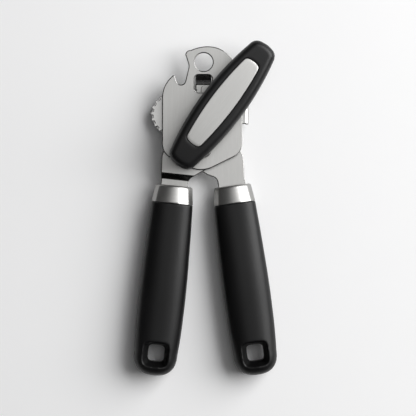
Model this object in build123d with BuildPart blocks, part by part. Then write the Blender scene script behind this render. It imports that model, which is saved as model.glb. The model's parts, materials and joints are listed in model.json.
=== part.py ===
from build123d import *
import os
from math import acos, atan2, cos, degrees, hypot, radians, sin

os.makedirs("parts", exist_ok=True)

# ---------------------------------------------------------------- driving dimensions (mm)
# The opener lies on its back: handles towards -Y, knob on top, Z up, table at Z = 0.
PIVOT_X = -1.36
PIVOT_Y = 37.79

SHEET = 2.0  # thickness of the two arms
PLATE_THICK = 1.5  # thickness of the head plate
ARM_LOW = 9.4  # underside of the right arm and of the left arm's tail
ARM_HIGH = 11.7  # underside of the left arm beneath the head plate
PLATE_LOW = ARM_HIGH + SHEET
PLATE_TOP = PLATE_LOW + PLATE_THICK
RUNNING = 0.05  # radial clearance of a shaft that turns in its bore

# Head
PLATE_LEFT = -26.1  # edges of the head plate, from the pivot
PLATE_RIGHT = 24.7
HANG_HOLE = (0.25, 55.4)
HANG_HOLE_RADIUS = 5.75
WINDOW = (0.0, 41.7)
WINDOW_SIZE = 11.2
FLANGE_OUTER = 28.9  # outer face of the arm's turned-down side flange

# Wheels. The two gears mesh when the handles are squeezed shut.
SPINDLE = (11.8, 27.5)
TEETH = 20
PITCH_RADIUS = 12.8
TIP_RADIUS = 13.5
ROOT_RADIUS = 11.95
GAP_AT_ROOT = 0.78  # half widths of the space between two teeth
GAP_AT_TIP = 1.42
GEAR_LOW = 6.9
GEAR_TOP = 9.2
FEED_RADIUS = 13.2
FEED_TEETH = 40
FEED_NOTCH = 0.6
FEED_LOW = 3.3
FEED_TOP = 6.6
BLADE_RADIUS = 13.0
BLADE_LOW = 1.5
BLADE_TOP = 3.1
SHAFT_RADIUS = 3.5
RIVET_HEAD = 5.4
BUSH_RADIUS = 4.8
BUSH_FLANGE = 6.0
BUSH_TOP = PLATE_TOP + 1.2
SQUARE = 4.8  # square ends of the drive spindle
THREAD_RADIUS = 2.4  # threaded lower end of the spindle
NUT_LOW = 0.6
AXLE_RADIUS = 3.2
AXLE_NECK = 2.4  # riveted end of the cutter axle, in the right arm
CUTTER_REACH = 30.25  # pivot axis to cutter axis
CLOSE_ANGLE = 14.0  # turn of the right handle from rest to shut

# Knob
KNOB_ANGLE = 53.0  # long axis, from +X
KNOB_HALF_LENGTH = 47.0
KNOB_HALF_WIDTH = 13.95
KNOB_SEAT = 17.1  # underside of the boss below the knob
KNOB_LOW = 19.5
KNOB_SPLIT = 22.5  # parting line between the base and the shell
KNOB_TOP = 32.5
INSERT_CENTRE = (12.1, 28.65)  # a little off the spindle, from the pivot
INSERT_HALF_LENGTH = 31.9
INSERT_HALF_WIDTH = 7.5
INSERT_THICK = 1.2
INSERT_GROOVE = 0.4

# Handles: collar is the line where ferrule and grip meet, from the pivot
LEFT_COLLAR = (-19.8, -33.9)
LEFT_LEAN = -6.2
RIGHT_COLLAR = (19.9, -33.9)
RIGHT_LEAN = 7.75
HANDLE_MID = 10.0
FERRULE_HEIGHT = 11.2
FERRULE_WALL = 1.3
COLLAR_WIDTH = 26.4
COLLAR_THICK = 16.4
FERRULE_TOP_WIDTH = 23.4
FERRULE_TOP_THICK = 13.4
TANG_WIDTH = 14.0
TANG_END = -45.0
SHOULDER_WIDTH = 17.6
GRIP_TIP = -110.1
SIDE_END = (13.55, -100.0)  # where a grip's side runs into its rounded corner
END_CORNER = (8.69, -107.6)  # where the corner runs into the end
GRIP_ROUNDING = 6.4
FULL_THICK_FROM = -62.0
EYE_MOUTH = (0.15, -96.4)  # opening through the end of each grip
EYE_THROAT = (0.15, -95.7)

# ---------------------------------------------------------------- positions worked out
CLOSED_GAP = 2 * PITCH_RADIUS
SPINDLE_REACH = hypot(*SPINDLE)
spindle_bearing = degrees(atan2(SPINDLE[1], SPINDLE[0]))
# Angle at the pivot between spindle and cutter when the gears mesh, by the cosine rule
mesh_angle = degrees(
    acos(
        (SPINDLE_REACH**2 + CUTTER_REACH**2 - CLOSED_GAP**2)
        / (2 * SPINDLE_REACH * CUTTER_REACH)
    )
)
closed_bearing = spindle_bearing + mesh_angle
rest_bearing = closed_bearing + CLOSE_ANGLE


def from_pivot(bearing, reach=CUTTER_REACH):
    """Point at a bearing and distance from the pivot axis."""
    return (reach * cos(radians(bearing)), reach * sin(radians(bearing)))


CUTTER = from_pivot(rest_bearing)
CUTTER_SHUT = from_pivot(closed_bearing)
mesh_bearing = degrees(atan2(CUTTER_SHUT[1] - SPINDLE[1], CUTTER_SHUT[0] - SPINDLE[0]))
HALF_TOOTH = 180 / TEETH
drive_phase = mesh_bearing
cutter_phase = mesh_bearing + 180 + CLOSE_ANGLE + HALF_TOOTH


def level(height, centre=(0, 0), turn=0.0):
    """Horizontal plane at a height, its origin given from the pivot axis."""
    return Plane(
        origin=(PIVOT_X + centre[0], PIVOT_Y + centre[1], height),
        x_dir=(cos(radians(turn)), sin(radians(turn)), 0),
        z_dir=(0, 0, 1),
    )


def upright(centre=(0, 0)):
    """Vertical plane through an axis, for turned pieces: x is radius, y is height."""
    return Plane(
        origin=(PIVOT_X + centre[0], PIVOT_Y + centre[1], 0),
        x_dir=(1, 0, 0),
        z_dir=(0, -1, 0),
    )


def axis_at(centre):
    return Axis((PIVOT_X + centre[0], PIVOT_Y + centre[1], 0), (0, 0, 1))


def across_handle(collar, lean, along):
    """Plane square to a handle, at a distance along it from the collar."""
    lean = radians(lean)
    return Plane(
        origin=(
            PIVOT_X + collar[0] - along * sin(lean),
            PIVOT_Y + collar[1] + along * cos(lean),
            HANDLE_MID,
        ),
        x_dir=(cos(lean), sin(lean), 0),
        z_dir=(sin(lean), -cos(lean), 0),
    )


def beside(across=0.0, lean=0.0):
    """Vertical plane facing +X: x runs forward along the handle's lean, y is up."""
    lean = radians(lean)
    return Plane(
        origin=(PIVOT_X + across, PIVOT_Y, 0),
        x_dir=(-sin(lean), cos(lean), 0),
        z_dir=(cos(lean), sin(lean), 0),
    )


def beside_handle(collar, lean):
    """Vertical plane along a handle at mid height: x runs forward, y is up."""
    lean = radians(lean)
    return Plane(
        origin=(PIVOT_X + collar[0], PIVOT_Y + collar[1], HANDLE_MID),
        x_dir=(-sin(lean), cos(lean), 0),
        z_dir=(cos(lean), sin(lean), 0),
    )


# ---------------------------------------------------------------- head plate
with BuildPart() as head_plate:
    with BuildSketch(level(PLATE_LOW)):
        with BuildLine():
            Line((PLATE_LEFT, 33.9), (PLATE_LEFT, 4.1))
            ThreePointArc((PLATE_LEFT, 4.1), (-24.9, -1.3), (-21.3, -5.0))
            Line((-21.3, -5.0), (-8.7, -11.3))
            ThreePointArc((-8.7, -11.3), (-1.2, -12.9), (5.4, -11.5))
            Line((5.4, -11.5), (19.9, -4.4))
            ThreePointArc((19.9, -4.4), (23.3, -1.2), (PLATE_RIGHT, 3.2))
            Line((PLATE_RIGHT, 3.2), (PLATE_RIGHT, 26.0))
            TangentArc((PLATE_RIGHT, 26.0), (18.2, 57.7), tangent=(0, 1))
            ThreePointArc((18.2, 57.7), (11.2, 63.5), (3.3, 65.4))
            ThreePointArc((3.3, 65.4), (-2.6, 64.8), (-7.9, 63.0))
            # Bottle opener: rounded lip, then the notch, then the hook
            ThreePointArc((-7.9, 63.0), (-10.7, 61.8), (-11.4, 60.1))
            Line((-11.4, 60.1), (-9.9, 55.6))
            ThreePointArc((-9.9, 55.6), (-9.35, 53.3), (-9.6, 51.0))
            Line((-9.6, 51.0), (-11.4, 43.3))
            ThreePointArc((-11.4, 43.3), (-14.2, 41.1), (-16.8, 42.9))
            Line((-16.8, 42.9), (-18.2, 46.2))
            ThreePointArc((-18.2, 46.2), (-18.6, 47.1), (-19.4, 46.8))
            ThreePointArc((-19.4, 46.8), (-24.0, 41.2), (PLATE_LEFT, 33.9))
        make_face()
        with Locations(HANG_HOLE):
            Circle(HANG_HOLE_RADIUS, mode=Mode.SUBTRACT)
        with Locations(WINDOW):
            RectangleRounded(WINDOW_SIZE, WINDOW_SIZE, 2.6, mode=Mode.SUBTRACT)
        Circle(SHAFT_RADIUS, mode=Mode.SUBTRACT)
        with Locations(SPINDLE):
            Circle(BUSH_RADIUS, mode=Mode.SUBTRACT)
    extrude(amount=PLATE_THICK)

# ---------------------------------------------------------------- left arm
with BuildPart() as left_arm:
    with BuildSketch(level(ARM_LOW)):
        with BuildLine():
            Polyline((-26.9, -22.0), (-26.8, -14.9), (-26.5, -5.8))
            ThreePointArc((-26.5, -5.8), (-25.3, -0.9), (-22.0, 3.0))
            ThreePointArc((-22.0, 3.0), (-11.0, 13.0), (-4.9, 25.0))
            Polyline((-4.9, 25.0), (-4.9, 39.0), (5.6, 39.0), (5.6, 37.0), (24.0, 36.0))
            Polyline((24.0, 36.0), (24.0, 16.3), (19.0, 12.0))
            ThreePointArc((19.0, 12.0), (13.0, -2.0), (-0.6, -14.0))
            Line((-0.6, -14.0), (-6.4, -17.3))
            ThreePointArc((-6.4, -17.3), (-8.7, -19.1), (-9.5, -22.0))
            Line((-9.5, -22.0), (-26.9, -22.0))
        make_face()
    extrude(amount=PLATE_LOW - ARM_LOW)
    # Shoulder and tang, which the ferrule and the grip take in
    with BuildSketch(level(ARM_LOW, LEFT_COLLAR, LEFT_LEAN)):
        with Locations((0.2, 9.5)):
            Rectangle(SHOULDER_WIDTH, 9.0)
        with Locations((0, TANG_END / 2 + 3)):
            Rectangle(TANG_WIDTH, 6 - TANG_END)
    extrude(amount=SHEET)
    # Side view of the sheet: flat under the plate, then set down to the handle's level
    with BuildSketch(beside(0, LEFT_LEAN)):
        with BuildLine():
            Polyline(
                (70.0, ARM_HIGH),
                (-16.7, ARM_HIGH),
                (-19.6, ARM_LOW),
                (-100.0, ARM_LOW),
                (-100.0, ARM_LOW + SHEET),
                (-20.4, ARM_LOW + SHEET),
                (-17.5, PLATE_LOW),
                (70.0, PLATE_LOW),
                close=True,
            )
        make_face()
    extrude(amount=60, both=True, mode=Mode.INTERSECT)
    # Tongue seen through the window, bent down as a guide for the can's rim
    with BuildSketch(beside(-4.9)):
        with BuildLine():
            Polyline(
                (38.0, PLATE_LOW),
                (41.6, PLATE_LOW),
                (44.5, 6.8),
                (48.4, 4.7),
                (47.9, 2.8),
                (42.9, 5.4),
                (40.3, ARM_HIGH),
                (38.0, ARM_HIGH),
                close=True,
            )
        make_face()
    extrude(amount=10.5)
    bend = left_arm.edges().filter_by(Axis.X).group_by(Axis.Z)[-1].sort_by(Axis.Y)[-1]
    fillet(bend, 1.8)
    # Side flange turned down beside the drive gear
    with BuildSketch(upright((0, 36.0))):
        with BuildLine():
            Polyline(
                (20.0, PLATE_LOW),
                (FLANGE_OUTER, PLATE_LOW),
                (FLANGE_OUTER, 4.5),
                (FLANGE_OUTER - SHEET, 4.5),
                (FLANGE_OUTER - SHEET, ARM_HIGH),
                (20.0, ARM_HIGH),
                close=True,
            )
        make_face()
        fillet(vertices().group_by(Axis.Y)[-1].sort_by(Axis.X)[-1], 2.5)
    extrude(amount=36.0 - 16.3)
    with BuildSketch(level(0)):
        Circle(SHAFT_RADIUS)
        with Locations(SPINDLE):
            Circle(BUSH_RADIUS)
    extrude(amount=PLATE_TOP, mode=Mode.SUBTRACT)

# ---------------------------------------------------------------- right arm
side_x = cos(radians(rest_bearing - 90))
side_y = sin(radians(rest_bearing - 90))
LOBE_RADIUS = 5.8
HUB_RADIUS = 9.5
with BuildPart() as right_arm:
    with BuildSketch(level(ARM_LOW)):
        with BuildLine():
            Polyline((9.5, -22.6), (9.2, -21.0))
            ThreePointArc((9.2, -21.0), (8.2, -18.6), (5.8, -17.05))
            Polyline((5.8, -17.05), (2.6, -15.9), (-0.6, -14.0))
            ThreePointArc((-0.6, -14.0), (-6.5, -9.8), (-9.0, -3.5))
            Line((-9.0, -3.5), (CUTTER[0] - LOBE_RADIUS * side_x, CUTTER[1] - LOBE_RADIUS * side_y))
            ThreePointArc(
                (CUTTER[0] - LOBE_RADIUS * side_x, CUTTER[1] - LOBE_RADIUS * side_y),
                from_pivot(rest_bearing, CUTTER_REACH + LOBE_RADIUS),
                (CUTTER[0] + LOBE_RADIUS * side_x, CUTTER[1] + LOBE_RADIUS * side_y),
            )
            Line(
                (CUTTER[0] + LOBE_RADIUS * side_x, CUTTER[1] + LOBE_RADIUS * side_y),
                (HUB_RADIUS * side_x, HUB_RADIUS * side_y),
            )
            ThreePointArc(
                (HUB_RADIUS * side_x, HUB_RADIUS * side_y), (17.5, 4.2), (24.9, -2.8)
            )
            Polyline((24.9, -2.8), (25.7, -7.9), (26.4, -22.6), (9.5, -22.6))
        make_face()
        Circle(SHAFT_RADIUS + RUNNING, mode=Mode.SUBTRACT)
        with Locations(CUTTER):
            Circle(AXLE_NECK, mode=Mode.SUBTRACT)
    extrude(amount=SHEET)
    with BuildSketch(level(ARM_LOW, RIGHT_COLLAR, RIGHT_LEAN)):
        with Locations((-0.1, 9.5)):
            Rectangle(SHOULDER_WIDTH, 9.0)
        with Locations((0, TANG_END / 2 + 3)):
            Rectangle(TANG_WIDTH, 6 - TANG_END)
    extrude(amount=SHEET)

# ---------------------------------------------------------------- pivot
with BuildPart() as pivot_rivet:
    with BuildSketch(upright()):
        with BuildLine():
            Polyline((0, 7.4), (4.6, 7.4), (5.5, 8.0), (5.5, 8.8), (SHAFT_RADIUS, 8.8))
            Polyline((SHAFT_RADIUS, 8.8), (SHAFT_RADIUS, PLATE_TOP), (RIVET_HEAD, PLATE_TOP))
            TangentArc((0, PLATE_TOP + 1.9), (RIVET_HEAD, PLATE_TOP), tangent=(1, 0))
            Line((0, PLATE_TOP + 1.9), (0, 7.4))
        make_face()
    revolve(axis=axis_at((0, 0)))

with BuildPart() as pivot_washer:
    with BuildSketch(level(8.8)):
        Circle(7.0)
        Circle(SHAFT_RADIUS, mode=Mode.SUBTRACT)
    extrude(amount=0.5)

# ---------------------------------------------------------------- drive train
with BuildPart() as spindle_bush:
    with BuildSketch(level(ARM_LOW, SPINDLE)):
        Circle(BUSH_FLANGE)
    extrude(amount=ARM_HIGH - ARM_LOW)
    with BuildSketch(level(ARM_HIGH, SPINDLE)):
        Circle(BUSH_RADIUS)
    extrude(amount=PLATE_TOP - ARM_HIGH)
    with BuildSketch(level(PLATE_TOP, SPINDLE)):
        Circle(BUSH_FLANGE)
    extrude(amount=BUSH_TOP - PLATE_TOP)
    chamfer(spindle_bush.edges().filter_by(GeomType.CIRCLE).sort_by(Axis.Z)[-1], 0.3)
    with BuildSketch(level(ARM_LOW, SPINDLE)):
        Circle(SHAFT_RADIUS + RUNNING)
    extrude(amount=BUSH_TOP - ARM_LOW, mode=Mode.SUBTRACT)

SCREW_RADIUS = 1.5
SPINDLE_TOP = 27.0
with BuildPart() as drive_spindle:
    with BuildSketch(level(0, SPINDLE)):
        Circle(THREAD_RADIUS)
    extrude(amount=FEED_LOW)
    with BuildSketch(level(FEED_LOW, SPINDLE)):
        Rectangle(SQUARE, SQUARE)
    extrude(amount=GEAR_TOP - FEED_LOW)
    with BuildSketch(level(GEAR_TOP, SPINDLE)):
        Circle(SHAFT_RADIUS)
    extrude(amount=KNOB_SEAT - GEAR_TOP)
    with BuildSketch(level(KNOB_SEAT, SPINDLE, KNOB_ANGLE)):
        Rectangle(SQUARE, SQUARE)
    extrude(amount=SPINDLE_TOP - KNOB_SEAT)
    with BuildSketch(level(SPINDLE_TOP, SPINDLE)):
        Circle(SCREW_RADIUS)
    extrude(amount=-7, mode=Mode.SUBTRACT)

with BuildPart() as spindle_washer:
    with BuildSketch(level(KNOB_SEAT, SPINDLE)):
        Circle(6.5)
        Circle(SHAFT_RADIUS, mode=Mode.SUBTRACT)
    extrude(amount=-0.6)


def gear_face():
    """Disc with spur teeth, a gap centred on the plane's x axis."""
    Circle(TIP_RADIUS)
    slope = (GAP_AT_TIP - GAP_AT_ROOT) / (TIP_RADIUS - ROOT_RADIUS)
    far = TIP_RADIUS + 0.6
    half = GAP_AT_TIP + slope * 0.6
    with PolarLocations(0, TEETH):
        Polygon(
            (ROOT_RADIUS, -GAP_AT_ROOT),
            (far, -half),
            (far, half),
            (ROOT_RADIUS, GAP_AT_ROOT),
            align=None,
            mode=Mode.SUBTRACT,
        )


with BuildPart() as drive_gear:
    with BuildSketch(level(GEAR_LOW, SPINDLE, drive_phase)):
        gear_face()
    extrude(amount=GEAR_TOP - GEAR_LOW)
    with BuildSketch(level(GEAR_LOW, SPINDLE)):
        Rectangle(SQUARE, SQUARE)
    extrude(amount=GEAR_TOP - GEAR_LOW, mode=Mode.SUBTRACT)

with BuildPart() as feed_wheel:
    with BuildSketch(level(FEED_LOW, SPINDLE)):
        Circle(FEED_RADIUS)
        with PolarLocations(0, FEED_TEETH):
            Polygon(
                (FEED_RADIUS - FEED_NOTCH, 0),
                (FEED_RADIUS + 0.3, -0.95),
                (FEED_RADIUS + 0.3, 0.95),
                align=None,
                mode=Mode.SUBTRACT,
            )
    extrude(amount=FEED_TOP - FEED_LOW)
    with BuildSketch(level(FEED_TOP, SPINDLE)):
        Circle(5.0)
    extrude(amount=GEAR_LOW - FEED_TOP)
    with BuildSketch(level(FEED_LOW, SPINDLE)):
        Rectangle(SQUARE, SQUARE)
    extrude(amount=GEAR_LOW - FEED_LOW, mode=Mode.SUBTRACT)

with BuildPart() as spindle_nut:
    with BuildSketch(level(NUT_LOW, SPINDLE)):
        RegularPolygon(4.2, 6, major_radius=False)
        Circle(THREAD_RADIUS, mode=Mode.SUBTRACT)
    extrude(amount=FEED_LOW - NUT_LOW)

# ---------------------------------------------------------------- cutter
with BuildPart() as cutter_gear:
    with BuildSketch(level(GEAR_LOW, CUTTER, cutter_phase)):
        gear_face()
        Circle(AXLE_RADIUS + RUNNING, mode=Mode.SUBTRACT)
    extrude(amount=GEAR_TOP - GEAR_LOW)

with BuildPart() as cutter_wheel:
    with BuildSketch(upright(CUTTER)):
        with BuildLine():
            Polyline(
                (AXLE_RADIUS + RUNNING, BLADE_LOW),
                (9.5, BLADE_LOW),
                (BLADE_RADIUS, BLADE_TOP - 0.15),
                (BLADE_RADIUS, BLADE_TOP),
                (6.5, BLADE_TOP),
                (6.5, GEAR_LOW),
                (AXLE_RADIUS + RUNNING, GEAR_LOW),
                close=True,
            )
        make_face()
    revolve(axis=axis_at(CUTTER))

with BuildPart() as cutter_axle:
    with BuildSketch(upright(CUTTER)):
        with BuildLine():
            Polyline((0, 0.1), (4.4, 0.1), (5.0, 0.5), (5.0, 1.0), (AXLE_RADIUS, 1.0))
            Polyline((AXLE_RADIUS, 1.0), (AXLE_RADIUS, ARM_LOW), (AXLE_NECK, ARM_LOW))
            Polyline((AXLE_NECK, ARM_LOW), (AXLE_NECK, ARM_LOW + SHEET), (3.4, ARM_LOW + SHEET))
            Polyline((3.4, ARM_LOW + SHEET), (2.6, 12.3), (0, 12.3), (0, 0.1))
        make_face()
    revolve(axis=axis_at(CUTTER))

with BuildPart() as cutter_washer:
    with BuildSketch(level(1.0, CUTTER)):
        Circle(5.6)
        Circle(AXLE_RADIUS, mode=Mode.SUBTRACT)
    extrude(amount=0.4)


# ---------------------------------------------------------------- knob
def bowed_outline(centre, height, half_length, half_width, half_end, bulge, corner):
    """Long face with bowed sides and slightly bowed ends, its corners rounded."""
    reach = half_length - bulge
    with BuildSketch(level(height, centre, KNOB_ANGLE)) as outline:
        with BuildLine():
            ThreePointArc((-reach, half_end), (0, half_width), (reach, half_end))
            ThreePointArc((reach, half_end), (half_length, 0), (reach, -half_end))
            ThreePointArc((reach, -half_end), (0, -half_width), (-reach, -half_end))
            ThreePointArc((-reach, -half_end), (-half_length, 0), (-reach, half_end))
        make_face()
        fillet(outline.vertices(), corner)
    return outline.sketch


with BuildPart() as knob_base:
    base_face = bowed_outline(
        SPINDLE, KNOB_LOW, KNOB_HALF_LENGTH - 0.2, KNOB_HALF_WIDTH - 0.2, 8.2, 2.0, 6.0
    )
    extrude(base_face, amount=KNOB_SPLIT - KNOB_LOW)
    fillet(knob_base.faces().sort_by(Axis.Z)[0].edges(), 1.6)
    with BuildSketch(level(KNOB_SEAT, SPINDLE)):
        Circle(7.0)
    extrude(amount=KNOB_SPLIT - KNOB_SEAT)
    with BuildSketch(level(KNOB_SEAT, SPINDLE, KNOB_ANGLE)):
        Rectangle(SQUARE, SQUARE)
    extrude(amount=KNOB_SPLIT - KNOB_SEAT, mode=Mode.SUBTRACT)

INSERT_FLOOR = KNOB_TOP - INSERT_THICK
HEAD_SEAT = 28.0
with BuildPart() as knob_shell:
    shell_face = bowed_outline(
        SPINDLE, KNOB_SPLIT, KNOB_HALF_LENGTH, KNOB_HALF_WIDTH, 8.4, 2.0, 6.0
    )
    extrude(shell_face, amount=KNOB_TOP - KNOB_SPLIT)
    fillet(knob_shell.faces().sort_by(Axis.Z)[-1].edges(), 3.6)
    pocket_length = INSERT_HALF_LENGTH + INSERT_GROOVE
    pocket_width = INSERT_HALF_WIDTH + INSERT_GROOVE
    pocket = bowed_outline(
        INSERT_CENTRE, INSERT_FLOOR, pocket_length, pocket_width, 5.5, 1.0, 3.4
    )
    extrude(pocket, amount=INSERT_THICK, mode=Mode.SUBTRACT)
    with BuildSketch(level(HEAD_SEAT, SPINDLE)):
        Circle(4.6)
    extrude(amount=INSERT_FLOOR - HEAD_SEAT, mode=Mode.SUBTRACT)
    with BuildSketch(level(KNOB_SPLIT, SPINDLE)):
        Circle(SCREW_RADIUS)
    extrude(amount=HEAD_SEAT - KNOB_SPLIT, mode=Mode.SUBTRACT)
    with BuildSketch(level(KNOB_SPLIT, SPINDLE, KNOB_ANGLE)):
        Rectangle(SQUARE, SQUARE)
    extrude(amount=SPINDLE_TOP - KNOB_SPLIT, mode=Mode.SUBTRACT)

with BuildPart() as knob_insert:
    insert = bowed_outline(
        INSERT_CENTRE, INSERT_FLOOR, INSERT_HALF_LENGTH, INSERT_HALF_WIDTH, 5.1, 1.0, 3.0
    )
    extrude(insert, amount=INSERT_THICK)
    chamfer(knob_insert.faces().sort_by(Axis.Z)[-1].edges(), 0.25)

with BuildPart() as knob_screw:
    with BuildSketch(upright(SPINDLE)):
        with BuildLine():
            Polyline((0, 20.5), (SCREW_RADIUS, 20.5), (SCREW_RADIUS, HEAD_SEAT))
            Polyline((SCREW_RADIUS, HEAD_SEAT), (3.6, HEAD_SEAT), (3.6, 29.2))
            TangentArc((0, 30.6), (3.6, 29.2), tangent=(1, 0))
            Line((0, 30.6), (0, 20.5))
        make_face()
    revolve(axis=axis_at(SPINDLE))
    # Cross recess
    with BuildSketch(level(30.6, SPINDLE)):
        Rectangle(3.6, 0.8)
        Rectangle(0.8, 3.6)
    extrude(amount=-1.5, mode=Mode.SUBTRACT)


# ---------------------------------------------------------------- handles
def make_ferrule(collar, lean):
    """Steel cap over the front end of a grip, slotted for the arm."""
    with BuildPart() as ferrule:
        with BuildSketch(across_handle(collar, lean, 0)):
            RectangleRounded(COLLAR_WIDTH, COLLAR_THICK, 6.2)
        with BuildSketch(across_handle(collar, lean, FERRULE_HEIGHT)):
            RectangleRounded(FERRULE_TOP_WIDTH, FERRULE_TOP_THICK, 5.2)
        loft()
        rim = ferrule.faces().sort_by(Axis.Y)[-1].edges()
        fillet(rim, 1.1)
        inner = 2 * FERRULE_WALL
        with BuildSketch(across_handle(collar, lean, 0)):
            RectangleRounded(COLLAR_WIDTH - inner, COLLAR_THICK - inner, 4.9)
        with BuildSketch(across_handle(collar, lean, FERRULE_HEIGHT - FERRULE_WALL)):
            RectangleRounded(FERRULE_TOP_WIDTH - inner, FERRULE_TOP_THICK - inner, 3.9)
        loft(mode=Mode.SUBTRACT)
        with BuildSketch(level(ARM_LOW - 0.1, collar, lean)):
            with Locations((0, FERRULE_HEIGHT)):
                Rectangle(SHOULDER_WIDTH + 0.8, 8.0)
        extrude(amount=SHEET + 0.2, mode=Mode.SUBTRACT)
    return ferrule


def make_grip(collar, lean):
    """Moulded grip: neck inside the ferrule, swelling body, round end with an eye."""
    half_collar = COLLAR_WIDTH / 2
    with BuildPart() as grip:
        with BuildSketch(level(0, collar, lean)):
            with BuildLine():
                for side in (-1, 1):
                    side_end = (side * SIDE_END[0], SIDE_END[1])
                    end_corner = (side * END_CORNER[0], END_CORNER[1])
                    Spline(
                        (side * half_collar, 0),
                        (side * 14.2, -24),
                        (side * 15.0, -52),
                        (side * 14.95, -77),
                        side_end,
                        tangents=[(side * 0.045, -1), (-side * 0.13, -1)],
                    )
                    TangentArc(side_end, end_corner, tangent=(-side * 0.13, -1))
                ThreePointArc((-END_CORNER[0], END_CORNER[1]), (0, GRIP_TIP), END_CORNER)
                Line((-half_collar, 0), (half_collar, 0))
            make_face()
        extrude(amount=2 * HANDLE_MID)
        # Side view: thinner at the ferrule, full thickness over the palm
        with BuildSketch(beside_handle(collar, lean)):
            with BuildLine():
                for face in (-HANDLE_MID, HANDLE_MID):
                    edge_of_collar = (0, face * COLLAR_THICK / (2 * HANDLE_MID))
                    TangentArc((FULL_THICK_FROM, face), edge_of_collar, tangent=(1, 0))
                    Line((FULL_THICK_FROM, face), (2 * FULL_THICK_FROM, face))
                Line((0, -COLLAR_THICK / 2), (0, COLLAR_THICK / 2))
                Line((2 * FULL_THICK_FROM, -HANDLE_MID), (2 * FULL_THICK_FROM, HANDLE_MID))
            make_face()
        extrude(amount=30, both=True, mode=Mode.INTERSECT)
        front = grip.faces().sort_by(Axis.Y)[-1]
        around = grip.edges() - front.edges()
        fillet([edge for edge in around if abs(edge.center().Z - HANDLE_MID) > 5], GRIP_ROUNDING)
        inner = 2 * FERRULE_WALL + 0.1
        with BuildSketch(across_handle(collar, lean, 0)):
            RectangleRounded(COLLAR_WIDTH - inner, COLLAR_THICK - inner, 4.85)
        with BuildSketch(across_handle(collar, lean, FERRULE_HEIGHT - FERRULE_WALL - 0.1)):
            RectangleRounded(FERRULE_TOP_WIDTH - inner, FERRULE_TOP_THICK - inner, 3.85)
        loft()
        # Pocket for the arm's shoulder and tang
        with BuildSketch(level(ARM_LOW - 0.05, collar, lean)):
            with Locations((0, 9.5)):
                Rectangle(SHOULDER_WIDTH + 0.6, 9.2)
            with Locations((0, TANG_END / 2 + 4)):
                Rectangle(TANG_WIDTH + 0.1, 8.2 - TANG_END)
        extrude(amount=SHEET + 0.1, mode=Mode.SUBTRACT)
        # Eye: flared mouth on both faces, straight throat between them
        for face, side in ((2 * HANDLE_MID, -1), (0, 1)):
            with BuildSketch(level(face, collar, lean)):
                with Locations(EYE_MOUTH):
                    RectangleRounded(17.6, 16.2, 4.6)
            with BuildSketch(level(face + side * 8.0, collar, lean)):
                with Locations(EYE_THROAT):
                    RectangleRounded(10.4, 10.6, 1.9)
            loft(mode=Mode.SUBTRACT)
        with BuildSketch(level(7.0, collar, lean)):
            with Locations(EYE_THROAT):
                RectangleRounded(10.4, 10.6, 1.9)
        extrude(amount=6.0, mode=Mode.SUBTRACT)
    return grip


left_ferrule = make_ferrule(LEFT_COLLAR, LEFT_LEAN)
right_ferrule = make_ferrule(RIGHT_COLLAR, RIGHT_LEAN)
left_grip = make_grip(LEFT_COLLAR, LEFT_LEAN)
right_grip = make_grip(RIGHT_COLLAR, RIGHT_LEAN)

# ---------------------------------------------------------------- write the pieces
pieces = {
    "head_plate": head_plate,
    "left_arm": left_arm,
    "right_arm": right_arm,
    "pivot_rivet": pivot_rivet,
    "pivot_washer": pivot_washer,
    "spindle_bush": spindle_bush,
    "drive_spindle": drive_spindle,
    "spindle_washer": spindle_washer,
    "drive_gear": drive_gear,
    "feed_wheel": feed_wheel,
    "spindle_nut": spindle_nut,
    "cutter_gear": cutter_gear,
    "cutter_wheel": cutter_wheel,
    "cutter_axle": cutter_axle,
    "cutter_washer": cutter_washer,
    "knob_base": knob_base,
    "knob_shell": knob_shell,
    "knob_insert": knob_insert,
    "knob_screw": knob_screw,
    "left_ferrule": left_ferrule,
    "right_ferrule": right_ferrule,
    "left_grip": left_grip,
    "right_grip": right_grip,
}
for name, piece in pieces.items():
    piece.part.label = name
    export_step(piece.part, f"parts/{name}.step")
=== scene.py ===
"""A manual can opener lying flat on a pale table, knob up, seen from straight above."""

import json
import math

import bmesh
import bpy
from mathutils import Matrix, Vector
from mathutils.geometry import convex_hull_2d


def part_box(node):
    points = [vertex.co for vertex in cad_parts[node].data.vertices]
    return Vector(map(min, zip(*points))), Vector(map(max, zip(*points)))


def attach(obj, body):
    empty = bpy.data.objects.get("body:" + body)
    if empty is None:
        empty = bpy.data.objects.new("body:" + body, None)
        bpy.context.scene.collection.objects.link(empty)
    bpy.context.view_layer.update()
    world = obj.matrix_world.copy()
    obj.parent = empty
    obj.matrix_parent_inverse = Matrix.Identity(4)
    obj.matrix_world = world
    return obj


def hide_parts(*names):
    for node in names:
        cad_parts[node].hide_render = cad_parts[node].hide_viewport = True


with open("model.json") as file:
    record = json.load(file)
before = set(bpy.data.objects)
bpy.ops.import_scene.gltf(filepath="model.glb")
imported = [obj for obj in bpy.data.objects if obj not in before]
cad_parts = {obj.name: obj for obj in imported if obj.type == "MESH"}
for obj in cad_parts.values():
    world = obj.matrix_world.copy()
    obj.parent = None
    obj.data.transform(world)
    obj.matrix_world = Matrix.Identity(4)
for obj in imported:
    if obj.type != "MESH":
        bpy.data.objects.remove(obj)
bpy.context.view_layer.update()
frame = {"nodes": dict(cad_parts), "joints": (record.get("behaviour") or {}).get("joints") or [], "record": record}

MM = 0.001
record = frame["record"]
joints = {joint["name"]: joint for joint in frame["joints"]}
body_of_node = {
    node: body for body, nodes in record["behaviour"]["bodies"].items() for node in nodes
}

pivot = Vector(joints["handle_pivot"]["pos_m"])
spindle = Vector(joints["knob_spin"]["pos_m"])
cutter = Vector(joints["cutter_spin"]["pos_m"])

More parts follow.
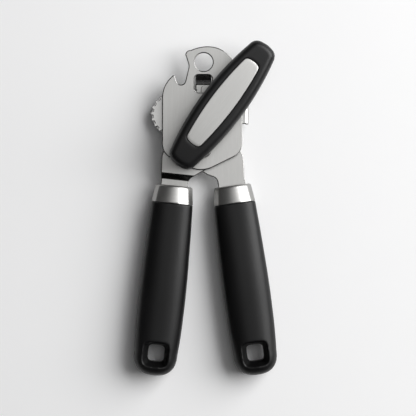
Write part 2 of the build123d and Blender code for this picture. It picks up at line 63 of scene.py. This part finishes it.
# Handles and knob in millimetres and degrees, placed as in the CAD model. A collar is
# where a grip meets its ferrule, measured from the pivot.
LEFT_COLLAR, LEFT_LEAN = (-19.8, -33.9), -6.2
RIGHT_COLLAR, RIGHT_LEAN = (19.9, -33.9), 7.75
HANDLE_MID = 10.0  # height of the handles' middle above the table
COLLAR_WIDTH, COLLAR_THICK = 13.2, 8.2  # half width and half thickness at the collar
FERRULE_HEIGHT = 11.2
GRIP_TIP = 109.95  # from the collar, just inside the CAD grip's tip
KNOB_ANGLE = 53.0  # of its long axis, from +X


# ------------------------------------------------------------------ material helpers
class Paint:
    """A node material, with short names for the nodes that the finishes below use."""

    def __init__(self, name):
        self.material = bpy.data.materials.new(name)
        self.material.use_nodes = True
        self.nodes = self.material.node_tree.nodes
        self.links = self.material.node_tree.links
        self.shader = self.nodes["Principled BSDF"]

    def add(self, kind, **settings):
        node = self.nodes.new(kind)
        for key, value in settings.items():
            setattr(node, key, value)
        return node

    def join(self, source, target):
        self.links.new(source, target)

    def coordinates(self, scale=(1, 1, 1), turn=0.0):
        """Object coordinates, turned about Z and stretched."""
        place = self.add("ShaderNodeTexCoord")
        mapping = self.add("ShaderNodeMapping", vector_type="TEXTURE")
        mapping.inputs["Rotation"].default_value = (0, 0, math.radians(turn))
        mapping.inputs["Scale"].default_value = tuple(1 / factor for factor in scale)
        self.join(place.outputs["Object"], mapping.inputs["Vector"])
        return mapping.outputs["Vector"]

    def radius_coordinates(self, origin, rings):
        """Distance from a vertical axis, for the rings that turning leaves."""
        place = self.add("ShaderNodeTexCoord")
        moved = self.add("ShaderNodeVectorMath", operation="SUBTRACT")
        moved.inputs[1].default_value = origin
        flat = self.add("ShaderNodeVectorMath", operation="MULTIPLY")
        flat.inputs[1].default_value = (1, 1, 0)
        length = self.add("ShaderNodeVectorMath", operation="LENGTH")
        out = self.add("ShaderNodeMath", operation="MULTIPLY")
        out.inputs[1].default_value = rings
        self.join(place.outputs["Object"], moved.inputs[0])
        self.join(moved.outputs[0], flat.inputs[0])
        self.join(flat.outputs[0], length.inputs[0])
        self.join(length.outputs["Value"], out.inputs[0])
        return out.outputs[0]

    def noise(self, vector, scale, detail, roughness=0.6, dimensions="3D"):
        node = self.add("ShaderNodeTexNoise", noise_dimensions=dimensions)
        node.inputs["Scale"].default_value = scale
        node.inputs["Detail"].default_value = detail
        node.inputs["Roughness"].default_value = roughness
        self.join(vector, node.inputs["W" if dimensions == "1D" else "Vector"])
        return node.outputs["Fac"]

    def spread(self, value, low, high, from_low=0.3, from_high=0.7):
        """A 0 to 1 pattern stretched over a range."""
        node = self.add("ShaderNodeMapRange")
        node.inputs["From Min"].default_value = from_low
        node.inputs["From Max"].default_value = from_high
        node.inputs["To Min"].default_value = low
        node.inputs["To Max"].default_value = high
        self.join(value, node.inputs["Value"])
        return node.outputs["Result"]

    def blend_colours(self, factor, first, second):
        node = self.add("ShaderNodeMix", data_type="RGBA")
        node.inputs["A"].default_value = (*first, 1)
        node.inputs["B"].default_value = (*second, 1)
        self.join(factor, node.inputs["Factor"])
        return node.outputs["Result"]

    def add_up(self, first, second, weight):
        """The first value plus a share of the second."""
        node = self.add("ShaderNodeMath", operation="MULTIPLY_ADD")
        node.inputs[1].default_value = weight
        self.join(second, node.inputs[0])
        self.join(first, node.inputs[2])
        return node.outputs[0]

    def bump(self, height, strength, distance):
        node = self.add("ShaderNodeBump")
        node.inputs["Strength"].default_value = strength
        node.inputs["Distance"].default_value = distance
        self.join(height, node.inputs["Height"])
        self.join(node.outputs["Normal"], self.shader.inputs["Normal"])

    def finish_with(self, colour, roughness):
        """Patterned colour and roughness on the shader."""
        self.join(colour, self.shader.inputs["Base Color"])
        self.join(roughness, self.shader.inputs["Roughness"])


def shade(colour, factor):
    """The colour made darker or lighter."""
    return tuple(min(1, channel * factor) for channel in colour)


GROOVE_DEPTH = 0.00002  # of a metal's grain, in metres
COARSE_SCALE = 0.22  # coarse streaks against fine ones
COARSE_WEIGHT = 0.3


def brushed_steel(name, colour, rough, grain, bump, turn=0.0):
    """Steel with a straight grain, coarse streaks under fine ones, and faint smudges."""
    paint = Paint(name)
    coarse_grain = tuple(scale * COARSE_SCALE for scale in grain)
    fine = paint.noise(paint.coordinates(grain, turn), scale=1.0, detail=5.0, roughness=0.7)
    coarse = paint.noise(paint.coordinates(coarse_grain, turn), scale=1.0, detail=3.0)
    smudge = paint.noise(paint.coordinates(), scale=45.0, detail=4.0, roughness=0.55)
    streaks = paint.add_up(fine, coarse, COARSE_WEIGHT)
    tone = paint.spread(streaks, 0, 1, from_low=0.55, from_high=1.05)
    grain_rough = paint.spread(fine, rough - 0.03, rough + 0.04)
    paint.finish_with(
        paint.blend_colours(tone, shade(colour, 0.93), shade(colour, 1.06)),
        paint.add_up(grain_rough, paint.spread(smudge, -0.5, 0.5), weight=0.05),
    )
    paint.shader.inputs["Metallic"].default_value = 1.0
    paint.bump(streaks, bump, GROOVE_DEPTH)
    return paint.material


def turned_steel(name, colour, rough, axis_point, rings=9000.0):
    """Steel turned or ground about a vertical axis, with fine concentric rings."""
    paint = Paint(name)
    radius = paint.radius_coordinates(axis_point, rings)
    groove = paint.noise(radius, scale=1.0, detail=3.0, dimensions="1D")
    smudge = paint.noise(paint.coordinates(), scale=160.0, detail=4.0)
    groove_rough = paint.spread(groove, rough - 0.05, rough + 0.06)
    paint.finish_with(
        paint.blend_colours(paint.spread(groove, 0, 1), shade(colour, 0.84), shade(colour, 1.08)),
        paint.add_up(groove_rough, smudge, weight=0.08),
    )
    paint.shader.inputs["Metallic"].default_value = 1.0
    paint.bump(groove, strength=0.2, distance=GROOVE_DEPTH)
    return paint.material


PEBBLE_DEPTH = 0.00007  # of a moulding's surface, in metres


def matte_black(name, colour, rough, pebble):
    """Matte black moulding: fine eggshell pebble and faint handling marks."""
    paint = Paint(name)
    grain = paint.noise(paint.coordinates(), scale=pebble, detail=3.0)
    fine = paint.noise(paint.coordinates(), scale=pebble * 3.1, detail=2.0, roughness=0.5)
    handled = paint.noise(paint.coordinates((1, 0.5, 1)), scale=38.0, detail=5.0)
    marks = paint.spread(handled, 0, 1, from_low=0.42, from_high=0.72)
    handled_rough = paint.spread(handled, rough - 0.03, rough + 0.05)
    paint.finish_with(
        paint.blend_colours(marks, colour, shade(colour, 1.5)),
        paint.add_up(handled_rough, grain, weight=0.05),
    )
    paint.shader.inputs["Specular IOR Level"].default_value = 0.34
    paint.bump(paint.add_up(grain, fine, weight=0.5), strength=0.3, distance=PEBBLE_DEPTH)
    return paint.material


STEEL = (0.65, 0.647, 0.632)
ALONG_Y, ALL_WAYS = (3600, 110, 900), (900, 900, 900)  # grain: noise cells per metre in x, y, z
plate_steel = brushed_steel("plate_brushed", STEEL, 0.45, ALONG_Y, 0.1)
arm_steel = brushed_steel("arm_brushed", STEEL, 0.45, (3400, 110, 900), 0.1)
insert_steel = brushed_steel(
    "insert_brushed", (0.66, 0.657, 0.642), 0.36, (110, 3600, 900), 0.06, turn=KNOB_ANGLE
)
ferrule_steel = brushed_steel("ferrule_satin", (0.42, 0.417, 0.407), 0.4, (260, 3600, 260), 0.05)
# Painted shade: near-black steel for edges and steep faces turned away from the light, and for the tongue's
# pressed marks
dark_steel_painted_shade = brushed_steel("painted_shade_on_edges", (0.035, 0.035, 0.034), 0.28, ALL_WAYS, 0.2)
gear_steel = brushed_steel("gear_stamped", (0.78, 0.775, 0.76), 0.33, ALL_WAYS, 0.4)
rivet_steel = turned_steel("rivet_turned", (0.6, 0.595, 0.58), 0.26, pivot)
spindle_steel = turned_steel("spindle_turned", (0.58, 0.575, 0.56), 0.28, spindle)
cutter_steel = turned_steel("cutter_turned", (0.6, 0.6, 0.59), 0.22, cutter, rings=6000.0)
grip_black = matte_black("grip_soft_black", (0.0025, 0.0025, 0.0027), 0.38, 1500.0)
knob_black = matte_black("knob_matte_black", (0.0055, 0.0055, 0.0058), 0.37, 2200.0)


# ------------------------------------------------------------------ mesh helpers
def add_piece(name, mesh, paint):
    piece = bpy.data.objects.new(name, mesh)
    bpy.context.scene.collection.objects.link(piece)
    mesh.materials.clear()
    mesh.materials.append(paint)
    return piece


def finished_mesh(name, work):
    """Smooth-shaded mesh of the work, which is freed."""
    mesh = bpy.data.meshes.new(name)
    work.to_mesh(mesh)
    work.free()
    for face in mesh.polygons:
        face.use_smooth = True
    return mesh


def stand_for(piece, node):
    """The piece shows in place of a CAD node and moves with that node's body."""
    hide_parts(node)
    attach(piece, body_of_node[node])


def settle(piece):
    """Applies the piece's modifiers to its mesh."""
    graph = bpy.context.evaluated_depsgraph_get()
    done = bpy.data.meshes.new_from_object(piece.evaluated_get(graph), depsgraph=graph)
    piece.modifiers.clear()
    piece.data = done


SHARP_ANGLE = math.radians(32)  # between faces, from which an edge is rounded
# Steep faces and rounded edges get the painted shade, except those facing up towards the light
STEEP_NORMAL = 0.97  # a face is steep when its normal's z is below this
LIT_X, LIT_Z = 0.3, 0.25  # a normal above both faces up towards the +X side


def dress(node, paint, width, segments=2, shade_paint=None):
    """Shows a CAD node with rounded edges: its faces joined up, then bevelled.

    The shade paint is painted shade: it covers the rounded edges and the steep pressed
    faces. Edges and bends that face up towards the +X side, where the light falls, keep
    the main paint. Without a width, the edges stay sharp.
    """
    work = bmesh.new()
    work.from_mesh(frame["nodes"][node].data)
    bmesh.ops.remove_doubles(work, verts=work.verts, dist=2e-6)
    bmesh.ops.dissolve_limit(
        work, angle_limit=math.radians(0.4), verts=work.verts, edges=work.edges
    )
    mesh = finished_mesh(node + "_shape", work)
    piece = add_piece(node + "_piece", mesh, paint)
    # Steep faces get the painted shade
    if shade_paint:
        mesh.materials.append(shade_paint)
        for face in mesh.polygons:
            if abs(face.normal.z) < STEEP_NORMAL:
                face.material_index = 1
    if width:
        bevel = piece.modifiers.new("rounded edges", "BEVEL")
        bevel.width = width * MM
        bevel.segments = segments
        bevel.limit_method = "ANGLE"
        bevel.angle_limit = SHARP_ANGLE
        bevel.use_clamp_overlap = False
        if shade_paint:
            bevel.material = 1
        weigh = piece.modifiers.new("flat faces", "WEIGHTED_NORMAL")
        weigh.mode = "FACE_AREA"
        weigh.weight = 100
        weigh.keep_sharp = False
    else:
        mesh.set_sharp_from_angle(angle=SHARP_ANGLE)
    settle(piece)
    # Faces that turn up towards the light on the +X side keep the main paint; the painted shade stays on the rest
    if shade_paint:
        for face in piece.data.polygons:
            if face.normal.x > LIT_X and face.normal.z > LIT_Z:
                face.material_index = 0
    stand_for(piece, node)


def handle_place(collar, lean):
    """Matrix of a handle's own frame: x across, y towards the head, z up, at mid height."""
    across, along = collar
    place = Matrix.Translation((pivot.x + across * MM, pivot.y + along * MM, HANDLE_MID * MM))
    return place @ Matrix.Rotation(math.radians(lean), 4, "Z")


def rounded_ring(half_width, half_thick, power, count):
    """Points of a superellipse, evenly spread by angle."""
    points = []
    for step in range(count):
        angle = 2 * math.pi * step / count
        c, s = math.cos(angle), math.sin(angle)
        x = half_width * math.copysign(abs(c) ** (2 / power), c)
        z = half_thick * math.copysign(abs(s) ** (2 / power), s)
        points.append((x, z))
    return points


def skin_rings(name, rings_of_points):
    """Closed tube through rings of points, each ring with the same number of points."""
    work = bmesh.new()
    rings = [[work.verts.new(point) for point in ring] for ring in rings_of_points]
    count = len(rings[0])
    for near, far in zip(rings, rings[1:]):
        for i in range(count):
            j = (i + 1) % count
            work.faces.new((near[i], near[j], far[j], far[i]))
    work.faces.new(rings[0][::-1])
    work.faces.new(rings[-1])
    bmesh.ops.recalc_face_normals(work, faces=work.faces)
    return finished_mesh(name, work)


def across_handle(place, outline, along):
    """World points of an outline that stands across a handle, at a distance along it."""
    return [place @ Vector((x * MM, along * MM, z * MM)) for x, z in outline]


CORNER_STEPS = 6
FACE_STEPS = 14


def crowned_ring(half_width, half_thick, crown, slant, corner):
    """Section with crowned faces, slanting sides and small round corners.

    The faces rise by crown from their corners to the middle, and each side leans in by
    slant from mid height to the corner.
    """
    edge = Vector((half_width - slant, half_thick - crown))
    top = Vector((0.0, half_thick))
    radius = (edge.x**2 + crown**2) / (2 * crown)
    reach = math.asin(edge.x / radius)
    side_way = Vector((slant, -edge.y)).normalized()
    quarter = [Vector((half_width, 0.0)), edge + side_way * corner]
    face_cut = reach * (1 - corner / edge.x)
    face_end = Vector((radius * math.sin(face_cut), top.y - radius * (1 - math.cos(face_cut))))
    for step in range(1, CORNER_STEPS + 1):
        t = step / CORNER_STEPS
        quarter.append(quarter[1] * (1 - t) ** 2 + edge * 2 * t * (1 - t) + face_end * t**2)
    for step in range(1, FACE_STEPS):
        angle = face_cut * (1 - step / FACE_STEPS)
        x, drop = radius * math.sin(angle), radius * (1 - math.cos(angle))
        quarter.append(Vector((x, top.y - drop)))
    right_top = [(p.x, p.y) for p in quarter]
    left_top = [(-x, y) for x, y in reversed(right_top)]
    upper = right_top + [(0.0, top.y)] + left_top
    lower = [(x, -y) for x, y in reversed(upper[1:-1])]
    return upper + lower


def smooth_curve(points, x):
    """Height at x of a smooth curve through points sorted by x."""
    last = len(points) - 1
    index = max(i for i in range(last) if points[i][0] <= x or i == 0)
    (x0, y0), (x1, y1) = points[index], points[index + 1]
    before = points[max(index - 1, 0)]
    after = points[min(index + 2, last)]
    slope0 = (y1 - before[1]) / (x1 - before[0])
    slope1 = (after[1] - y0) / (after[0] - x0)
    span = x1 - x0
    t = (x - x0) / span
    return (
        (2 * t**3 - 3 * t**2 + 1) * y0
        + (t**3 - 2 * t**2 + t) * span * slope0
        + (3 * t**2 - 2 * t**3) * y1
        + (t**3 - t**2) * span * slope1
    )


# ------------------------------------------------------------------ grips
# Half width at distances down from the ferrule
GRIP_SIDES = [(0, COLLAR_WIDTH), (24, 14.2), (52, 14.97), (77, 14.8), (90, 14.24), (97, 13.7)]
END_CENTRE, END_WIDTH, END_POWER = 96.0, 13.79, 2.5  # rounded end in plan
END_SIDE_POWER = 3.2  # rounded end from the side
BELLY_RISE, BELLY_DOWN = 1.8, 62  # how much thicker it grows, and how far down
LIP = 0.5  # rounding where the grip meets the ferrule
SEAM = 0.05  # gap between the two
SIDE_START = 0.6  # first full section below the lip
TOP_POWER, POWER_LOSS, POWER_DOWN = 2.7, 0.2, 40  # squareness, its loss, and how far down
GRIP_POINTS = 96  # around each section
LIP_STEPS, SIDE_STEPS, END_STEPS = 4, 60, 40

EYE_ACROSS, EYE_POWER, EYE_POINTS = 0.15, 5.0, 64
EYE_MOUTH, EYE_THROAT = -96.4, -95.7  # where the opening's middle lies along the grip
# Height, half width, half length and middle, from above one face to the throat
EYE_LEVELS = [
    (13.0, 10.0, 9.3, EYE_MOUTH),
    (9.6, 8.8, 8.1, EYE_MOUTH),
    (8.6, 8.2, 7.5, EYE_MOUTH),
    (3.0, 5.2, 5.3, EYE_THROAT),
]


def grip_station(down):
    """Half width, half thickness and squareness of the grip, down from the ferrule."""
    beyond = (down - END_CENTRE) / (GRIP_TIP - END_CENTRE)
    if beyond <= 0:
        half_width = smooth_curve(GRIP_SIDES, down)
    else:
        half_width = END_WIDTH * max(1 - beyond**END_POWER, 0.0) ** (1 / END_POWER)
    half_thick = COLLAR_THICK + BELLY_RISE * math.sin(math.radians(90 * min(down / BELLY_DOWN, 1)))
    if beyond > 0:
        half_thick *= max(1 - beyond**END_SIDE_POWER, 0.0) ** (1 / END_SIDE_POWER)
    power = TOP_POWER - POWER_LOSS * min(down / POWER_DOWN, 1)
    return half_width, half_thick, power


def eye_cutter(place):
    """Solid of the opening through the grip's end: a throat that flares to both faces."""
    other_face = [(-z, a, b, along) for z, a, b, along in reversed(EYE_LEVELS)]
    rings = []
    for z, a, b, along in EYE_LEVELS + other_face:
        ring = []
        for x, y in rounded_ring(a, b, EYE_POWER, EYE_POINTS):
            ring.append(place @ Vector(((EYE_ACROSS + x) * MM, (along + y) * MM, z * MM)))
        rings.append(ring)
    return skin_rings("eye_cutter", rings)


def make_grip(side, place):
    """Moulded grip with the eye cut through its end, its edges evened and softened."""
    # A plug inside the ferrule: distance along, half width, half thickness, squareness
    stations = [(1.5, 9.0, 4.5, 2.6), (0.02, 10.0, 5.5, 2.6)]
    for step in range(LIP_STEPS + 1):
        turn = math.radians(90 * step / LIP_STEPS)
        half_width, half_thick, power = grip_station(LIP * (1 - math.cos(turn)))
        inset = LIP * (1 - math.sin(turn))
        along = -SEAM - LIP * (1 - math.cos(turn))
        stations.append((along, half_width - inset, half_thick - inset, power))
    for step in range(1, SIDE_STEPS + 1):
        down = SIDE_START + (END_CENTRE - SIDE_START) * step / SIDE_STEPS
        stations.append((-down, *grip_station(down)))
    for step in range(1, END_STEPS + 1):
        # Just short of a quarter turn, so that the last section keeps some width
        share = math.sin(math.radians(89 * step / END_STEPS)) ** (2 / END_POWER)
        down = END_CENTRE + (GRIP_TIP - END_CENTRE) * share
        stations.append((-down, *grip_station(down)))
    rings = []
    for along, half_width, half_thick, power in stations:
        outline = rounded_ring(half_width, half_thick, power, GRIP_POINTS)
        rings.append(across_handle(place, outline, along))
    piece = add_piece(side + "_grip_piece", skin_rings(side + "_grip_shape", rings), grip_black)
    tool = bpy.data.objects.new("eye_tool", eye_cutter(place))
    bpy.context.scene.collection.objects.link(tool)
    cut = piece.modifiers.new("eye", "BOOLEAN")
    cut.operation = "DIFFERENCE"
    cut.solver = "EXACT"
    cut.object = tool
    even = piece.modifiers.new("even", "REMESH")
    even.mode = "VOXEL"
    even.voxel_size = 0.55 * MM
    even.use_smooth_shade = True
    soften = piece.modifiers.new("soften", "SMOOTH")
    soften.factor = 0.5
    soften.iterations = 6
    settle(piece)
    bpy.data.objects.remove(tool)
    piece.data.materials.clear()
    piece.data.materials.append(grip_black)
    stand_for(piece, side + "_grip")


# ------------------------------------------------------------------ ferrules
WIDTH_TAPER, THICK_TAPER = 1.45, 1.5  # how much its half sizes lose towards the head
FERRULE_RIM = 1.5  # rounding of its front edge, along the handle
RIM_INWARDS = 0.8  # share of that rounding across the handle
FERRULE_BREAK = 0.12  # rounding of its back edge
BODY_STEPS, RIM_STEPS = 12, 8


def make_ferrule(side, place):
    """Satin steel cap: crowned faces, slanting sides, rounded rim, sunk front end."""
    rings = []

    def ring(along, inset=0.0):
        share = along / FERRULE_HEIGHT
        half_width = COLLAR_WIDTH - WIDTH_TAPER * share - inset
        half_thick = COLLAR_THICK - THICK_TAPER * share - inset
        outline = crowned_ring(half_width, half_thick, crown=3.3, slant=2.4, corner=0.9)
        rings.append(across_handle(place, outline, along))

    ring(0.0, inset=1.2)
    ring(0.0, inset=FERRULE_BREAK)
    ring(FERRULE_BREAK)
    last = FERRULE_HEIGHT - FERRULE_RIM
    for step in range(1, BODY_STEPS + 1):
        ring(FERRULE_BREAK + (last - FERRULE_BREAK) * step / BODY_STEPS)
    for step in range(1, RIM_STEPS + 1):
        turn = math.radians(90 * step / RIM_STEPS)
        inset = FERRULE_RIM * (1 - math.cos(turn)) * RIM_INWARDS
        ring(last + FERRULE_RIM * math.sin(turn), inset)
    # Inner edge of the rim, then the sunk front end
    ring(FERRULE_HEIGHT - 0.1, inset=1.5)
    ring(FERRULE_HEIGHT - 1.8, inset=1.8)
    mesh = skin_rings(side + "_ferrule_shape", rings)
    piece = add_piece(side + "_ferrule_piece", mesh, ferrule_steel)
    mesh.set_sharp_from_angle(angle=math.radians(50))
    stand_for(piece, side + "_ferrule")


for side, collar, lean in (
    ("left", LEFT_COLLAR, LEFT_LEAN),
    ("right", RIGHT_COLLAR, RIGHT_LEAN),
):
    handle = handle_place(collar, lean)
    make_grip(side, handle)
    make_ferrule(side, handle)

# ------------------------------------------------------------------ knob
KNOB_REACH = 47.0  # from the spindle to the knob's ends
TOP_DROP = 1.3  # how far the knob's ends sit below its middle
KNOB_SPLIT = 22.5  # height where the shell meets the base
DROP_HEIGHT = 10.0  # height above the split at which the whole drop is reached
SEAT_FLOOR, SHELL_TOP = 31.3, 32.45
SAME_LEVEL = 1e-5  # metres
OUTLINE_POINTS = 240
SHOULDER_STEPS, PAD_STEPS = 14, 6
SHOULDER_POWER = 0.9  # below 1, a fuller curve than an ellipse


def outline_at(node, height):
    """Evenly spaced points of a CAD node's outer outline at one height, in knob axes."""
    turn = Matrix.Rotation(math.radians(-KNOB_ANGLE), 4, "Z")
    points = []
    for vertex in frame["nodes"][node].data.vertices:
        if abs(vertex.co.z - height * MM) < SAME_LEVEL:
            local = turn @ (vertex.co - spindle)
            points.append(Vector((local.x / MM, local.y / MM)))
    kept = [points[i] for i in convex_hull_2d(points)]
    kept.append(kept[0])
    lengths = [0.0]
    for a, b in zip(kept, kept[1:]):
        lengths.append(lengths[-1] + (b - a).length)
    even = []
    place = 0
    for step in range(OUTLINE_POINTS):
        target = lengths[-1] * step / OUTLINE_POINTS
        while lengths[place + 1] < target:
            place += 1
        share = (target - lengths[place]) / (lengths[place + 1] - lengths[place])
        even.append(kept[place].lerp(kept[place + 1], share))
    return even


def shrink(outline, inset):
    """The outline moved inwards by a distance."""
    count = len(outline)
    moved = []
    for i, point in enumerate(outline):
        along = (outline[(i + 1) % count] - outline[i - 1]).normalized()
        moved.append(point + Vector((-along.y, along.x)) * inset)
    return moved


def blend(first, second, share):
    """The outline that lies between two others."""
    return [a.lerp(b, share) for a, b in zip(first, second)]


def on_knob(outline, height):
    """World points of an outline at a height on the knob, whose top sinks to its ends."""
    turn = Matrix.Rotation(math.radians(KNOB_ANGLE), 4, "Z")
    axis = Vector((spindle.x, spindle.y, 0))
    ring = []
    for point in outline:
        outward = min(abs(point.x) / KNOB_REACH, 1)
        drop = TOP_DROP * outward**3 * (height - KNOB_SPLIT) / DROP_HEIGHT
        ring.append(axis + turn @ Vector((point.x * MM, point.y * MM, (height - drop) * MM)))
    return ring


def make_knob_shell():
    """Moulded shell: upright sides, broad soft shoulders, flat pads, sunk seat."""
    outer = outline_at("knob_shell", KNOB_SPLIT)
    seat = outline_at("knob_shell", SEAT_FLOOR)
    # Underside and its small rounded edge
    rings = [on_knob(shrink(outer, 0.9), KNOB_SPLIT), on_knob(shrink(outer, 0.3), KNOB_SPLIT)]
    rings.append(on_knob(shrink(outer, 0.08), KNOB_SPLIT + 0.1))
    rings.append(on_knob(outer, KNOB_SPLIT + 0.35))
    shoulder_low, shoulder_width, draft = 26.6, 4.4, 0.1
    rings.append(on_knob(shrink(outer, draft), shoulder_low))
    for step in range(1, SHOULDER_STEPS + 1):
        turn = math.radians(90 * step / SHOULDER_STEPS)
        inset = draft + shoulder_width * (1 - math.cos(turn) ** SHOULDER_POWER)
        height = shoulder_low + (SHELL_TOP - shoulder_low) * math.sin(turn) ** SHOULDER_POWER
        rings.append(on_knob(shrink(outer, inset), height))
    pad_outer, pad_inner = shrink(outer, draft + shoulder_width), shrink(seat, -0.3)
    for step in range(1, PAD_STEPS + 1):
        rings.append(on_knob(blend(pad_outer, pad_inner, step / PAD_STEPS), SHELL_TOP))
    # Small rounded edge, then the seat's wall and floor
    rings.append(on_knob(shrink(seat, -0.09), SHELL_TOP - 0.09))
    rings.append(on_knob(seat, SHELL_TOP - 0.3))
    rings.append(on_knob(seat, SEAT_FLOOR + 0.05))
    piece = add_piece("knob_shell_piece", skin_rings("knob_shell_shape", rings), knob_black)
    piece.data.set_sharp_from_angle(angle=math.radians(60))
    stand_for(piece, "knob_shell")


def make_knob_insert():
    """Brushed steel inlay that follows the top of the knob."""
    low, side_top, top, rounding = 31.4, 32.1, 32.4, 0.3
    edge_steps, top_steps = 4, 17
    edge = outline_at("knob_insert", SEAT_FLOOR)
    middle = sum(edge, Vector((0, 0))) / len(edge)
    rings = [on_knob(edge, low), on_knob(edge, side_top)]
    for step in range(1, edge_steps + 1):
        turn = math.radians(90 * step / edge_steps)
        inset = rounding * (1 - math.cos(turn))
        rings.append(on_knob(shrink(edge, inset), side_top + rounding * math.sin(turn)))
    spot = [middle] * len(edge)
    for step in range(1, top_steps):
        rings.append(on_knob(blend(shrink(edge, rounding), spot, step / top_steps), top))
    mesh = skin_rings("knob_insert_shape", rings)
    piece = add_piece("knob_insert_piece", mesh, insert_steel)
    stand_for(piece, "knob_insert")


make_knob_shell()
make_knob_insert()

# ------------------------------------------------------------------ the other CAD nodes
# The plate, arms and gears get painted shade on their edges and steep faces away from the light
dress("head_plate", plate_steel, 0.6, segments=4, shade_paint=dark_steel_painted_shade)
dress("left_arm", arm_steel, 0.55, segments=4, shade_paint=dark_steel_painted_shade)
dress("right_arm", arm_steel, 0.55, segments=4, shade_paint=dark_steel_painted_shade)
dress("pivot_rivet", rivet_steel, 0.15)
dress("pivot_washer", rivet_steel, 0.1)
dress("spindle_bush", spindle_steel, 0.12)
dress("drive_spindle", spindle_steel, 0.12)
dress("spindle_washer", spindle_steel, 0.1)
dress("spindle_nut", spindle_steel, 0.2)
dress("drive_gear", gear_steel, 0.3, shade_paint=dark_steel_painted_shade)
dress("feed_wheel", gear_steel, 0.1)
dress("cutter_gear", gear_steel, 0.22, shade_paint=dark_steel_painted_shade)
dress("cutter_wheel", cutter_steel, 0)
dress("cutter_axle", cutter_steel, 0.12)
dress("cutter_washer", cutter_steel, 0.08)
dress("knob_base", knob_black, 0.2)
dress("knob_screw", spindle_steel, 0.08)


# ------------------------------------------------------------------ marks on the tongue, in painted shade
TONGUE_TOP = 13.7
MARK_LOW, MARK_HIGH = TONGUE_TOP - 0.1, TONGUE_TOP + 0.02
# In millimetres from the pivot
HOOK_LINE = ((-1.4, 36.4), (-1.35, 38.3), (-1.15, 39.4), (-0.6, 40.1), (0.1, 40.4))
HOOK_HALF_WIDTH = 0.2
DOT_CENTRE, DOT_RADIUS, DOT_POINTS = (-4.2, 37.8), 0.42, 24


def show_mark(name, rings):
    """A mark let into the flat of the tongue, seen through the window, in painted shade."""
    piece = add_piece(name, skin_rings(name + "_shape", rings), dark_steel_painted_shade)
    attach(piece, body_of_node["left_arm"])


def from_pivot(x, y, z):
    """World point from millimetres beside the pivot and above the table."""
    return Vector((pivot.x + x * MM, pivot.y + y * MM, z * MM))


def make_hook_line():
    """Painted shade of a pressed hook-shaped line, from the tongue's root up to its bend."""
    rings = []
    for x, y in HOOK_LINE:
        left, right = x - HOOK_HALF_WIDTH, x + HOOK_HALF_WIDTH
        corners = ((left, MARK_HIGH), (right, MARK_HIGH), (right, MARK_LOW), (left, MARK_LOW))
        rings.append([from_pivot(side, y, z) for side, z in corners])
    show_mark("tongue_line", rings)


def make_dot():
    """Small dimple near the tongue's corner, drawn as a flat disc of painted shade."""
    x, y = DOT_CENTRE
    turns = [2 * math.pi * i / DOT_POINTS for i in range(DOT_POINTS)]
    round_spots = [(x + DOT_RADIUS * math.cos(t), y + DOT_RADIUS * math.sin(t)) for t in turns]
    rings = []
    for z in (MARK_LOW, MARK_HIGH):
        rings.append([from_pivot(*spot, z) for spot in round_spots])
    show_mark("tongue_dot", rings)


make_hook_line()
make_dot()


# ------------------------------------------------------------------ table, light, camera
def make_table():
    """Broad flat table with a faint mottle."""
    work = bmesh.new()
    bmesh.ops.create_grid(work, x_segments=8, y_segments=8, size=3.0)
    mesh = bpy.data.meshes.new("table")
    work.to_mesh(mesh)
    work.free()
    paint = Paint("table_white")
    mottle = paint.noise(paint.coordinates(), scale=30.0, detail=3.0)
    paint.join(
        paint.blend_colours(mottle, (0.935, 0.935, 0.938), (0.95, 0.95, 0.953)),
        paint.shader.inputs["Base Color"],
    )
    paint.shader.inputs["Roughness"].default_value = 0.75
    paint.shader.inputs["Specular IOR Level"].default_value = 0.2
    table = add_piece("table", mesh, paint.material)


def add_panel(name, direction, distance, size, radiance):
    """Rectangular area light of a given radiance, aimed at the origin from a direction."""
    light = bpy.data.lights.new(name, "AREA")
    light.shape = "RECTANGLE"
    light.size, light.size_y = size
    light.energy = radiance * math.pi * size[0] * size[1]
    panel = bpy.data.objects.new(name, light)
    bpy.context.scene.collection.objects.link(panel)
    way = Vector(direction).normalized()
    panel.location = way * distance
    panel.rotation_euler = way.to_track_quat("Z", "Y").to_euler()


def from_angles(azimuth, elevation):
    """Direction towards a light: azimuth from +X towards +Y, elevation above the table."""
    a, e = math.radians(azimuth), math.radians(elevation)
    return (math.cos(a) * math.cos(e), math.sin(a) * math.cos(e), math.sin(e))


make_table()
add_panel(
    "key", from_angles(azimuth=26, elevation=37), distance=2.2, size=(2.2, 2.0), radiance=5.7
)
add_panel(
    "ceiling", from_angles(azimuth=40, elevation=80), distance=2.4, size=(1.5, 1.5), radiance=0.85
)

WORLD_STRENGTH = 0.06
world = bpy.data.worlds.new("studio")
world.use_nodes = True
background = world.node_tree.nodes["Background"]
background.inputs["Color"].default_value = (1.0, 1.0, 1.0, 1)
background.inputs["Strength"].default_value = WORLD_STRENGTH
bpy.context.scene.world = world

CAMERA_HEIGHT = 0.95
FRAME_WIDTH = 0.2633  # width of the view at the head plate
SENSOR_WIDTH = 36.0
VIEW_CENTRE = (2.98, -37.0)  # millimetres from the pivot
plate_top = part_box("head_plate")[1].z
camera_data = bpy.data.cameras.new("camera")
camera_data.sensor_width = SENSOR_WIDTH
camera_data.lens = SENSOR_WIDTH * CAMERA_HEIGHT / FRAME_WIDTH
camera_data.clip_start = 0.01
camera = bpy.data.objects.new("camera", camera_data)
bpy.context.scene.collection.objects.link(camera)
view_x, view_y = VIEW_CENTRE
camera.location = (pivot.x + view_x * MM, pivot.y + view_y * MM, plate_top + CAMERA_HEIGHT)
bpy.context.scene.camera = camera
bpy.context.scene.view_settings.view_transform = "Standard"
